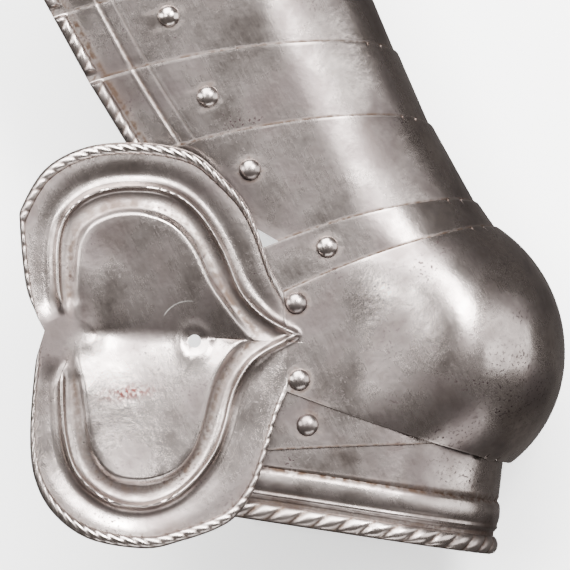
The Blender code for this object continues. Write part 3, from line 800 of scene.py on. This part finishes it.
# The knee cup with its wing, worked from one sheet.
wing = {
    "columns": 290,
    "rows": (10, 7, 9, 5, 8, 15),
    "reach": 132.0,
    "rise": 99.0,
    "fall": 102.8,
    "flare": 15.0,
    "bead": 6.0,
    "beadRise": 2.6,
    "ridgeRise": 3.2,
    "fieldRise": 2.6,
    "creaseDepth": 3.0,
    "creasePull": 0.3,
    "rootShare": 0.13,
    "rootRise": 0.3,
    "flarePower": 0.8,
    # Each row is a distance from the ridge's crest, a width and a depth.
    "channel": (6.0, 3.6, 0.9),
    "dish": (-5.5, 4.8, 1.4),
    "crestWidths": (1.9, 1.5, 1.6),
    "crestFade": 9.0,
    "fieldFade": 16.0,
    "fieldStep": (-2.6, 1.6),
    "creaseCore": (0.0, 5.0, 0.55),
    "neckFade": (12.0, 22.0),
    "notchFade": (12.0, 26.0),
    # Painted shade along the inner foot of the rope.
    "ropePaintedShade": (6.6, 1.3, 0.85),
    "channelDirt": 0.5,
    "fieldDirt": (-3.2, 1.8, 0.45),
    "crestDirt": (-3.4, 2.2, 0.3),
    "crestWear": (0.0, 1.4, 0.5),
    "fieldWear": (0.6, 1.5, 0.35),
    "fieldCorner": 9,
    "ropePitch": 6.2,
    "ropeSkew": 1.1,
    "ropeCut": 0.34,
    "ropeEase": 3.0,
    "holeAt": (-45.3, 0.3),
    "holeWide": 6.5,
    "holeRelief": [(7.0, 2.4, 0.7), (0.0, 4.5, -0.5)],
    "notch": (0.907, 0.056),
}
wingNotch = Vector((-wing["notch"][0] * wing["reach"], wing["notch"][1] * wing["rise"]))
upperLobe = [
    (0.008, 0.247), (0.062, 0.381), (0.108, 0.568), (0.161, 0.715), (0.255, 0.851),
    (0.361, 0.955), (0.531, 1.0), (0.739, 0.982), (0.898, 0.876), (0.989, 0.689),
    (1.0, 0.583), (0.977, 0.285), (0.932, 0.119),
]
lowerLobe = [
    (-0.008, 0.241), (0.036, 0.377), (0.066, 0.509), (0.115, 0.708), (0.180, 0.835),
    (0.255, 0.903), (0.391, 0.964), (0.529, 1.0), (0.735, 0.956), (0.873, 0.830),
    (0.945, 0.655), (0.961, 0.431), (0.943, 0.124), (0.924, 0.017),
]
# Crest of the ridge and rim of the raised field in each lobe, from the neck to the notch.
crests = {
    1: [
        (5.4, 3.6), (-4.2, 8.0), (-12.4, 13.5), (-19.3, 20.3), (-24.1, 27.5), (-28.0, 37.0),
        (-31.6, 45.3), (-36.4, 54.2), (-42.6, 63.1), (-49.4, 69.7), (-56.3, 73.8), (-64.5, 76.3),
        (-74.1, 77.1), (-83.7, 76.7), (-93.3, 74.6), (-101.5, 70.5), (-108.1, 64.2), (-111.9, 56.2),
        (-113.5, 46.6), (-113.6, 37.0), (-113.0, 26.1), (-111.5, 17.9), (-109.5, 13.5),
    ],
    -1: [
        (5.4, 3.6), (-1.4, 0.3), (-8.3, -3.3), (-15.1, -7.9), (-19.5, -12.6), (-23.6, -19.2),
        (-26.4, -26.0), (-28.3, -32.9), (-30.2, -41.1), (-34.1, -52.1), (-39.8, -61.7), (-48.0, -71.0),
        (-56.3, -77.2), (-65.9, -80.9), (-74.1, -81.7), (-83.7, -80.3), (-93.3, -75.7), (-101.5, -68.3),
        (-107.0, -58.9), (-110.0, -46.6), (-111.1, -34.3), (-111.4, -24.7), (-111.1, -16.4), (-109.5, -10.9),
    ],
}
fieldRims = {
    1: [
        (-17.9, 3.3), (-24.5, 11.0), (-31.3, 20.6), (-36.8, 28.8), (-40.9, 37.0), (-43.9, 43.9),
        (-48.0, 50.8), (-54.6, 57.6), (-61.8, 61.7), (-70.0, 64.2), (-78.2, 64.6), (-86.4, 63.4),
        (-94.7, 59.8), (-99.9, 54.9), (-102.6, 48.0), (-103.6, 39.8), (-104.1, 28.8), (-104.3, 19.2),
        (-103.7, 11.0), (-103.4, 3.4),
    ],
    -1: [
        (-17.9, 3.0), (-26.8, -4.1), (-32.3, -12.3), (-36.0, -20.5), (-38.4, -28.8), (-41.2, -39.7),
        (-45.3, -52.1), (-50.8, -60.6), (-57.6, -65.8), (-67.2, -68.9), (-75.5, -69.2), (-83.7, -67.6),
        (-90.6, -62.8), (-95.8, -54.1), (-98.5, -43.9), (-99.9, -31.5), (-101.5, -20.5), (-103.7, -8.2),
        (-103.4, 2.4),
    ],
}


def curvePoint(spots, index, t):
    # A smooth curve through all the spots, from spots[index] at 0 to the next at 1.
    a, b = spots[index], spots[index + 1]
    before = spots[index - 1] if index else a * 2 - b
    after = spots[index + 2] if index + 2 < len(spots) else b * 2 - a
    curve = a * 2 + (b - before) * t + (before * 2 - a * 5 + b * 4 - after) * t**2
    return (curve + (a * 3 - before - b * 3 + after) * t**3) / 2


def smoothPath(points):
    # A search tree over a smooth curve, with its points and the length up to each.
    spots = [Vector(point) for point in points]
    dense = []
    for index in range(len(spots) - 1):
        dense += [curvePoint(spots, index, t) for t in steps(0.0, 1.0, 24)[:-1]]
    dense.append(spots[-1])
    tree = kdtree.KDTree(len(dense))
    for index, spot in enumerate(dense):
        tree.insert(spot.to_3d(), index)
    tree.balance()
    lengths = [0.0]
    for a, b in zip(dense, dense[1:]):
        lengths.append(lengths[-1] + (b - a).length)
    return {"tree": tree, "points": dense, "lengths": lengths}


crestPaths = {lobe: smoothPath(points) for lobe, points in crests.items()}
fieldPaths = {lobe: smoothPath(points) for lobe, points in fieldRims.items()}
fieldSides = {}
for lobe, points in fieldRims.items():
    corner = wing["fieldCorner"]
    fieldSides[lobe] = (smoothPath(points[:corner]), smoothPath(points[corner:]))


def offPath(path, lobe, spot):
    # Distance from the curve, positive towards the field, and the length left to its notch end.
    _, index, distance = path["tree"].find(spot.to_3d())
    points = path["points"]
    along = points[min(index + 1, len(points) - 1)] - points[max(index - 1, 0)]
    away = spot - points[index]
    side = (along.x * away.y - along.y * away.x) * lobe
    return math.copysign(distance, side), path["lengths"][-1] - path["lengths"][index]


def lobePoint(points, fall, share):
    # A point on a lobe's rim and the length run up to it.
    spots = [Vector((-x * wing["reach"], y * fall)) for x, y in points]
    lengths = [(b - a).length for a, b in zip(spots, spots[1:])]
    run = share * sum(lengths)
    index = 0
    while index < len(lengths) - 1 and run > lengths[index]:
        run -= lengths[index]
        index += 1
    return curvePoint(spots, index, min(run / lengths[index], 1.0)), share * sum(lengths)


def ropeRelief(across, share, run, lobe):
    # The rope runs out smooth at both ends of a lobe.
    plain = max(fromShare(share, 0.93, 0.99), 1 - fromShare(share, 0.0, 0.02))
    cut = wing["ropeCut"] * (1 - plain)
    crown = strand(run, across * lobe, wing["ropePitch"], wing["ropeSkew"], cut, wing["ropeEase"])
    neck = 0.25 + 0.75 * smooth(share * 10)
    groove = (1 - crown) / wing["ropeCut"]
    wear = max(0.0, 1 - groove * 3) * roundOver(across) * 0.7
    dirtAndShade = min(1.0, groove + 0.25 * (1 - roundOver(across)))
    return wing["beadRise"] * roundOver(across) * crown * neck, dirtAndShade, wear


def innerRelief(spot, outward):
    # Ridge, channel, field and crease; outward is the distance in from the rope's edge.
    line = wingNotch.normalized()
    fromCrease = spot.x * line.y - spot.y * line.x
    lobe = 1 if fromCrease > 0 else -1
    fromCrease = abs(fromCrease)
    crest, left = offPath(crestPaths[lobe], lobe, spot)
    other, otherLeft = offPath(crestPaths[-lobe], -lobe, spot)
    field, _ = offPath(fieldPaths[lobe], lobe, spot)
    live = smooth(left / wing["crestFade"])
    otherLive = smooth(otherLeft / wing["crestFade"])
    fieldLive = smooth((spot - fieldPaths[lobe]["points"][-1]).length / wing["fieldFade"])
    outerWidth, innerWidth, otherWidth = wing["crestWidths"]
    ridge = live * bump(crest, 0.0, outerWidth if crest < 0 else innerWidth)
    height = wing["ridgeRise"] * max(ridge, otherLive * bump(other, 0.0, otherWidth))
    centre, width, depth = wing["channel"]
    channel = bump(crest, centre, width) if crest > 0 else 0.0
    height -= depth * channel * live
    inside = fromShare(field, *wing["fieldStep"]) * fieldLive
    neckStart, neckSpan = wing["neckFade"]
    notchStart, notchSpan = wing["notchFade"]
    ends = smooth((-spot.x - neckStart) / neckSpan)
    ends *= smooth(((spot - wingNotch).length - notchStart) / notchSpan)
    # The field falls evenly from its rim to the crease.
    sides = [max(abs(offPath(path, lobe, spot)[0]), 0.5) for path in fieldSides[lobe]]
    even = sum(side**-3 for side in sides) ** (-1 / 3) if field > 0 else 0.5
    slope = even / (fromCrease + even)
    height += inside * wing["fieldRise"] * (1 - slope) * ends
    height -= wing["creaseDepth"] * max(slope * inside, bumps(fromCrease, [wing["creaseCore"]])) * ends
    height -= bumps(crest, [wing["dish"]]) * live * smooth(-spot.x / neckStart)
    height += bumps((spot - Vector(wing["holeAt"])).length, wing["holeRelief"])
    # Painted shade along the rope's inner foot, with dirt at the field's rim, in the channel and beside the crest.
    dirtAndShade = bumps(outward, [wing["ropePaintedShade"]]) + bumps(field, [wing["fieldDirt"]]) * fieldLive
    dirtAndShade += (wing["channelDirt"] * channel + bumps(crest, [wing["crestDirt"]])) * live
    wear = live * bumps(crest, [wing["crestWear"]]) + fieldLive * bumps(field, [wing["fieldWear"]])
    return height, min(dirtAndShade, 1.0), min(wear, 1.0)


def halfStops(rim, crease, lobe):
    # Distances along one half of a column, closer together at the rope, the crest and the field's rim.
    width = (crease - rim).length
    bead = min(wing["bead"], 0.245 * width)
    found = []
    for path, fallback in ((crestPaths[lobe], 0.78), (fieldPaths[lobe], 0.93)):
        crossing = fallback * width
        last = None
        tries = steps(0.02, 0.99, 80)
        for share in tries:
            off, left = offPath(path, lobe, rim.lerp(crease, share))
            if last is not None and last < 0 <= off and left > 0.4:
                crossing = (share - (tries[1] - tries[0]) * off / (off - last)) * width
                break
            last = off
        found.append(crossing)
    crest = min(max(found[0], bead + 0.1 * width), 0.86 * width)
    field = min(max(found[1], crest + 0.04 * width), 0.95 * width)
    near = min(3.0, 0.45 * (crest - bead), 0.45 * (field - crest))
    past = field + min(2.0, 0.4 * (width - field))
    knots = [0.0, bead, crest - near, crest + near, field - near, past, width]
    stops = []
    for first, last, count in zip(knots, knots[1:], wing["rows"]):
        stops += steps(first, last, count)[:-1]
    return stops + [width]


def wingColumn(share):
    # One column of the wing, from the upper rim over the crease to the lower rim.
    crease = wingNotch * share * (1 + wing["creasePull"] * (1 - share))
    halves = []
    for points, fall, lobe in ((upperLobe, wing["rise"], 1), (lowerLobe, -wing["fall"], -1)):
        rim, run = lobePoint(points, fall, share)
        width = (crease - rim).length
        stops = halfStops(rim, crease, lobe)
        bead = stops[wing["rows"][0]]
        half = []
        for stop in stops:
            spot = rim.lerp(crease, stop / width)
            if stop <= bead:
                worked = ropeRelief(stop / bead, share, run, lobe)
            else:
                height, dirtAndShade, wear = innerRelief(spot, stop * wing["bead"] / bead)
                ease = smooth((stop - bead) / 1.5)
                worked = (height * ease, dirtAndShade, wear)
            half.append((spot, worked, stop / width))
        halves.append(half)
    merged = halves[0] + halves[1][-2::-1]
    points = []
    for spot, _, _ in merged:
        away = max(-spot.x, 0.0) / wing["reach"]
        level = place("knee", spot)
        points.append(Vector((level.x, level.y, levelTop + wing["flare"] * away ** wing["flarePower"])))
    return points, [worked for _, worked, _ in merged], [part for _, _, part in merged]


def cuspRelief(spot):
    # The two ridges of the wing run on to a point on the cup.
    forward, up = frameAxes("knee")
    local = Vector((spot.xy.dot(forward), spot.xy.dot(up)))
    if local.x > 10:
        return 0.0, 0.0, 0.0
    height, dirtAndShade, wear = innerRelief(local, 50.0)
    fade = 1 - smooth((local.x - 3) / 6)
    return height * fade, dirtAndShade * fade, wear * fade


cupPlaces = [("inner", share) for share in steps(1.0, 0.08, 9)]
cupPlaces += [("arc", angle) for angle in steps(-90, 24, 38)]
cupPlaces += [("arc", angle) for angle in steps(24.6, 50, 42)]
cupPlaces += [("arc", angle) for angle in steps(53, 90, 12)]
cupPlaces += [("outer", share) for share in steps(0.05, 0.6, 11)]
cupPlaces += [("bead", value) for value in steps(20.0, 0.0, 26)]
parts = wingColumn(0.0)[2]
half = len(parts) // 2
narrowShares = [part / 2 for part in parts[:half + 1]] + [1 - part / 2 for part in parts[half + 1:]]
evenShares = steps(0.0, 1.0, 2 * half)
cupColumns = []
cupWork = []
for kind, value in cupPlaces:
    mix = fromShare(value, 20.0, 9.0) if kind == "bead" else 0.0
    shares = [a + (b - a) * mix for a, b in zip(evenShares, narrowShares)]
    drop = notchDrop(value) if kind == "arc" else 0.0
    column = []
    for share in shares:
        moved = share
        if drop:
            moved += drop / 100 * (max(0.0, 1 - share * 12) - max(0.0, 1 - (1 - share) * 12))
        column.append(kneeEdge(moved).point(kind, value))
    work = []
    for index, (share, spot) in enumerate(zip(shares, column)):
        lip = 1.0 if index in (0, len(shares) - 1) else 0.0
        height, dirtAndShade, wear = (0.0, 0.0, 0.0)
        if kind == "bead":
            height, dirtAndShade, wear = cuspRelief(spot)
            if value <= 0.01 and min(share, 1 - share) < wing["rootShare"]:
                height = wing["rootRise"]
            # Painted shade along the cup's upper and lower edges at the neck, where they lie over the neighbouring
            # plates.
            dirtAndShade += 0.7 * bump(min(share, 1 - share) * knee["neckHeight"], 0.0, 1.0)
        if spot.z > 0:
            dirtAndShade += pivotDirt(spot, ("knee_top", "knee_foot"))
        work.append((height - leg["lipDrop"] * lip, min(dirtAndShade, 1.0), max(wear, thigh["edgeWear"] * lip)))
    cupColumns.append(column)
    cupWork.append(work)
for index in range(1, wing["columns"] + 1):
    points, work, _ = wingColumn(index / wing["columns"])
    cupColumns.append(points)
    cupWork.append(work)
cupGrid = [list(row) for row in zip(*cupColumns)]
cupMesh = shellMesh(cupGrid, lambda r, c: cupWork[c][r])
cup = addPiece("knee_cup_worked", cupMesh, "knee_cup", cupSteel, ["knee_cup"])
holeMesh = bmesh.new()
bmesh.ops.create_cone(
    holeMesh, cap_ends=True, segments=40, radius1=wing["holeWide"] / 2 * mm,
    radius2=wing["holeWide"] / 2 * mm, depth=40 * mm,
)
bmesh.ops.translate(holeMesh, vec=legPoint("knee", wing["holeAt"], levelTop + 6), verts=holeMesh.verts[:])
punchData = bpy.data.meshes.new("strapPunch")
holeMesh.to_mesh(punchData)
holeMesh.free()
punch = bpy.data.objects.new("strapPunch", punchData)
bpy.context.scene.collection.objects.link(punch)
punched = cup.modifiers.new("strapHole", "BOOLEAN")
punched.operation = "DIFFERENCE"
punched.solver = "EXACT"
punched.object = punch
graph = bpy.context.evaluated_depsgraph_get()
finished = bpy.data.meshes.new_from_object(cup.evaluated_get(graph))
cup.modifiers.clear()
cup.data = finished
bpy.data.objects.remove(punch, do_unlink=True)
print("knee cup and wing are raised")


# The two plates of the shin.
shin = {
    "wallAbove": 20.0,
    "bandRise": 1.7,
    "bandTo": 15.5,
    # Each row is a distance below the groove, a width and an amount.
    "bandLines": [(13.6, 0.9, 0.5), (11.6, 1.0, -0.25), (0.3, 1.2, -0.7)],
    "bandDirt": [(0.0, 1.8, 1.3), (16.8, 1.4, 0.8), (11.6, 1.6, 0.4)],
    "bandWear": [(5.0, 1.6, 0.4)],
    "ropeFrom": 18.0,
    "ropeTo": 27.0,
    "ropeRise": 3.0,
    "ropePitch": 11.6,
    "ropeEase": 1.6,
    "ropeSkew": 0.8,
    "ropeCut": 0.5,
}
shinLines = {
    name: CrossLine(
        "shin", row["front"], row["back"], row["bow"], levelMid, innerStart=leg["shinCut"], drop=0.0
    )
    for name, row in shinEdges.items()
}
grooveLine = shinLines["groove"].changed(outer=levelLow, inner=levelLow)
rimLine = shinLines["rim"].changed(outer=levelLow - 2.0, inner=restLevel - leg["beadRise"])
coverLine = shinLines["cover"]
shinUpper = coverLine.inside()
coverPlaces = [("inner", share) for share in steps(1.0, 0.08, 8)]
coverPlaces += [("arc", angle) for angle in steps(-90, 90, 60)]
coverPlaces += [("outer", share) for share in steps(0.06, 1.0, 16)]
runs = guideRuns(coverPlaces, kneeLower, kneeUpper)
middle = pivotPoint("knee_foot")
reach = reachPast(coverLine, middle, coverPlaces, runs)
coverGrid = [[coverLine.point(*spot) for spot in coverPlaces]]
coverShares = [0.012, 0.03, 0.08] + steps(0.14, 1.0, 18)
coverGrid += [tuckedRow(coverLine, coverPlaces, middle, share, reach, runs) for share in coverShares]


def coverRelief(r, c):
    spot = coverGrid[r][c]
    dirtAndShade = pivotDirt(spot, ("shin",)) if spot.z > 0 else 0.0
    # A dark line of painted shade along the cover's edge, where it lies over the shin plate.
    if r < 2:
        dirtAndShade = max(dirtAndShade, 0.9)
    return -leg["lipDrop"] if r == 0 else 0.0, dirtAndShade, 0.0


coverMesh = shellMesh(coverGrid, coverRelief)
addPiece("shin_cover_worked", coverMesh, "shin_cover", shinSteel, ["shin_cover"])

shinPlaces = [("inner", share) for share in steps(1.0, 0.02, 50)]
shinPlaces += [("arc", angle) for angle in steps(-90, 90, 170)]
shinPlaces += [("outer", share) for share in steps(0.015, 1.0, 62)]
high = [shinUpper.point(*spot) for spot in shinPlaces]
low = [grooveLine.point(*spot) for spot in shinPlaces]
foot = [rimLine.point(*spot) for spot in shinPlaces]
shinRuns = [place("knee", (0, 1)).to_3d()] * len(shinPlaces)
shinMiddle = pivotPoint("shin")
shinReach = reachPast(shinUpper, shinMiddle, shinPlaces, shinRuns)
shinGrid = []
shinRows = []
for share in steps(1.0, 0.0, 6)[:-1]:
    shinGrid.append(tuckedRow(shinUpper, shinPlaces, shinMiddle, share, shinReach, shinRuns))
    shinRows.append(None)
for share in steps(0.0, 1.0, 16)[:-1]:
    shinGrid.append([a.lerp(b, share) for a, b in zip(high, low)])
    shinRows.append(-shin["wallAbove"] * (1 - share))
for distance in steps(0.0, shin["ropeTo"], 44):
    shinGrid.append([a.lerp(b, distance / shin["ropeTo"]) for a, b in zip(low, foot)])
    shinRows.append(distance)
alongRim = [0.0]
for a, b in zip(foot, foot[1:]):
    alongRim.append(alongRim[-1] + (b - a).length)


def shinRelief(r, c):
    distance = shinRows[r]
    # The part tucked under the shin cover is darkened with painted shade.
    if distance is None:
        return 0.0, thigh["tuckedPaintedShade"], 0.0
    if distance < 0:
        return 0.0, 0.9 * bump(distance, 0.0, 2.5), 0.0
    if distance < shin["ropeFrom"]:
        band = math.sin(math.pi * min(distance / shin["bandTo"], 1.0))
        height = shin["bandRise"] * max(band, 0.0) ** 0.55 + bumps(distance, shin["bandLines"])
        return height, min(bumps(distance, shin["bandDirt"]), 1.0), bumps(distance, shin["bandWear"])
    across = (distance - shin["ropeFrom"]) / (shin["ropeTo"] - shin["ropeFrom"])
    crown = strand(
        alongRim[c], across, shin["ropePitch"], -shin["ropeSkew"], shin["ropeCut"], shin["ropeEase"]
    )
    dirtAndShade = 0.9 * (1 - crown) / shin["ropeCut"] + 0.15
    wear = max(0.0, crown * 2 - 1.3) * roundOver(across) * 0.6
    return shin["ropeRise"] * roundOver(across) * crown, dirtAndShade, wear


shinMesh = shellMesh(shinGrid, shinRelief)
addPiece("shin_plate_worked", shinMesh, "shin_plate", shinSteel, ["shin_plate"])
print("shin plates are raised")


# Round-headed pivot rivets with a plain burr inside.
rivet = {
    "head": 5.5,
    "rise": 3.4,
    "chamfer": 0.3,
    "shank": 2.5,
    "grip": 3.3,
    "burr": 4.0,
    "burrThick": 1.0,
    "turns": 40,
    "headDirt": (0.0, 0.5, 0.8),
}
carriers = {
    "thigh": "first_lame", "first": "second_lame", "second": "third_lame", "third": "fourth_lame",
    "knee_top": "knee_cup", "knee_foot": "knee_cup", "shin": "shin_cover",
}
rivetOutline = []
for angle in steps(90, 8, 9):
    rise = rivet["rise"] * math.sin(math.radians(angle))
    rivetOutline.append((rivet["head"] * math.cos(math.radians(angle)), rise))
rivetOutline += [(rivet["head"], 0.2), (rivet["head"] - rivet["chamfer"], 0.0), (rivet["shank"], 0.0)]
rivetOutline += [(rivet["shank"], -rivet["grip"]), (rivet["burr"], -rivet["grip"])]
burrEnd = -rivet["grip"] - rivet["burrThick"]
rivetOutline += [(rivet["burr"], burrEnd), (0.0, burrEnd)]


def rivetMesh(seat, sign):
    mesh = bmesh.new()
    points = [mesh.verts.new((max(x, 0.0) * mm, 0.0, z * mm)) for x, z in rivetOutline]
    lines = [mesh.edges.new(pair) for pair in zip(points, points[1:])]
    bmesh.ops.spin(
        mesh, geom=points + lines, angle=math.tau, steps=rivet["turns"], axis=(0, 0, 1), cent=(0, 0, 0)
    )
    bmesh.ops.remove_doubles(mesh, verts=mesh.verts[:], dist=0.00001)
    dirtAndShadeLayer = mesh.verts.layers.float.new("dirtAndShade")
    for vert in mesh.verts:
        vert[dirtAndShadeLayer] = bumps(vert.co.z / mm, [rivet["headDirt"]])
    if sign < 0:
        bmesh.ops.rotate(mesh, verts=mesh.verts[:], cent=(0, 0, 0), matrix=Matrix.Rotation(math.pi, 3, "X"))
    bmesh.ops.translate(mesh, vec=seat, verts=mesh.verts[:])
    bmesh.ops.recalc_face_normals(mesh, faces=mesh.faces[:])
    return mesh


for pivotName, carrier in carriers.items():
    for side, sign in (("outer", 1), ("inner", -1)):
        node = f"{pivotName}_rivet_{side}"
        lowCorner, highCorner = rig.box(node)
        seat = (Vector(lowCorner) + Vector(highCorner)) / 2
        top = highCorner[2] if sign > 0 else lowCorner[2]
        seat.z = top - sign * rivet["rise"] * mm
        addPiece(node + "_turned", rivetMesh(seat, sign), carrier, rivetSteel, [node])
print("rivets are set")


# Floor, camera and light.
studio = {
    "lookAt": (0.01984, -0.0486),
    "height": 6.0,
    "frameWide": 0.285,
    "frameAt": 0.11,
    "roll": -26.87,
    "floor": "F8F8F7",
    "floorGlow": 0.9,  # keeps the floor near white under the soft light
    "room": "827D7A",
    "roomLight": 0.8,
    "sensor": 36.0,
}
floorMesh = bmesh.new()
bmesh.ops.create_grid(floorMesh, x_segments=1, y_segments=1, size=3.0)
floorData = bpy.data.meshes.new("studioFloor")
floorMesh.to_mesh(floorData)
floorMesh.free()
floor = bpy.data.objects.new("studioFloor", floorData)
bpy.context.scene.collection.objects.link(floor)
floorPaint = bpy.data.materials.new("matteFloor")
floorPaint.use_nodes = True
floorShader = floorPaint.node_tree.nodes["Principled BSDF"]
floorShader.inputs["Base Color"].default_value = rgb(studio["floor"])
floorShader.inputs["Roughness"].default_value = 0.9
floorShader.inputs["Emission Color"].default_value = (1, 1, 1, 1)
floorShader.inputs["Emission Strength"].default_value = studio["floorGlow"]
floorData.materials.append(floorPaint)
floor.visible_glossy = False
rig.stage(floor)

cameraData = bpy.data.cameras.new("camera")
camera = bpy.data.objects.new("camera", cameraData)
bpy.context.scene.collection.objects.link(camera)
cameraData.sensor_width = studio["sensor"]
cameraData.lens = studio["sensor"] * (studio["height"] - studio["frameAt"]) / studio["frameWide"]
camera.location = (*studio["lookAt"], studio["height"])
camera.rotation_euler = (0, 0, math.radians(studio["roll"]))
bpy.context.scene.camera = camera

# Soft boxes: direction from the object in the picture's own right and up, height, size and power.
boxes = [
    {"name": "overhead", "right": -0.7, "up": 2.85, "height": 2.9, "wide": 3.4, "deep": 3.2, "power": 900},
    {"name": "rightTop", "right": 1.05, "up": 1.15, "height": 2.75, "wide": 1.0, "deep": 1.2, "power": 225},
    {"name": "leftTop", "right": -1.15, "up": 0.5, "height": 2.8, "wide": 0.6, "deep": 0.9, "power": 28},
    {"name": "rightSide", "right": 3.2, "up": 0.3, "height": 1.3, "wide": 2.2, "deep": 4.0, "power": 105},
    {"name": "leftSide", "right": -2.6, "up": 0.4, "height": 1.3, "wide": 1.0, "deep": 2.4, "power": 90},
    {"name": "lowSide", "right": 0.8, "up": -3.0, "height": 1.2, "wide": 3.0, "deep": 1.2, "power": 50},
]
roll = math.radians(studio["roll"])
pictureRight = Vector((math.cos(roll), math.sin(roll), 0))
pictureUp = Vector((-math.sin(roll), math.cos(roll), 0))
for row in boxes:
    lamp = bpy.data.lights.new(row["name"], "AREA")
    lamp.shape = "RECTANGLE"
    lamp.size = row["wide"]
    lamp.size_y = row["deep"]
    lamp.energy = row["power"]
    holder = bpy.data.objects.new(row["name"], lamp)
    bpy.context.scene.collection.objects.link(holder)
    aim = Vector((*studio["lookAt"], 0.1))
    spot = pictureRight * row["right"] + pictureUp * row["up"] + Vector((0, 0, row["height"]))
    holder.location = aim + spot
    holder.rotation_euler = (-spot).to_track_quat("-Z", "Y").to_euler()
world = bpy.data.worlds.new("studioRoom")
bpy.context.scene.world = world
world.use_nodes = True
world.node_tree.nodes["Background"].inputs["Color"].default_value = rgb(studio["room"])
world.node_tree.nodes["Background"].inputs["Strength"].default_value = studio["roomLight"]
print("the studio is lit")

sizes = open("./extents.json", "w")
for label, corners in (("cad", cadBox), ("scene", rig.bounds())):
    sizes.write(f"{label} {[[round(value, 4) for value in corner] for corner in corners]}\n")
sizes.close()
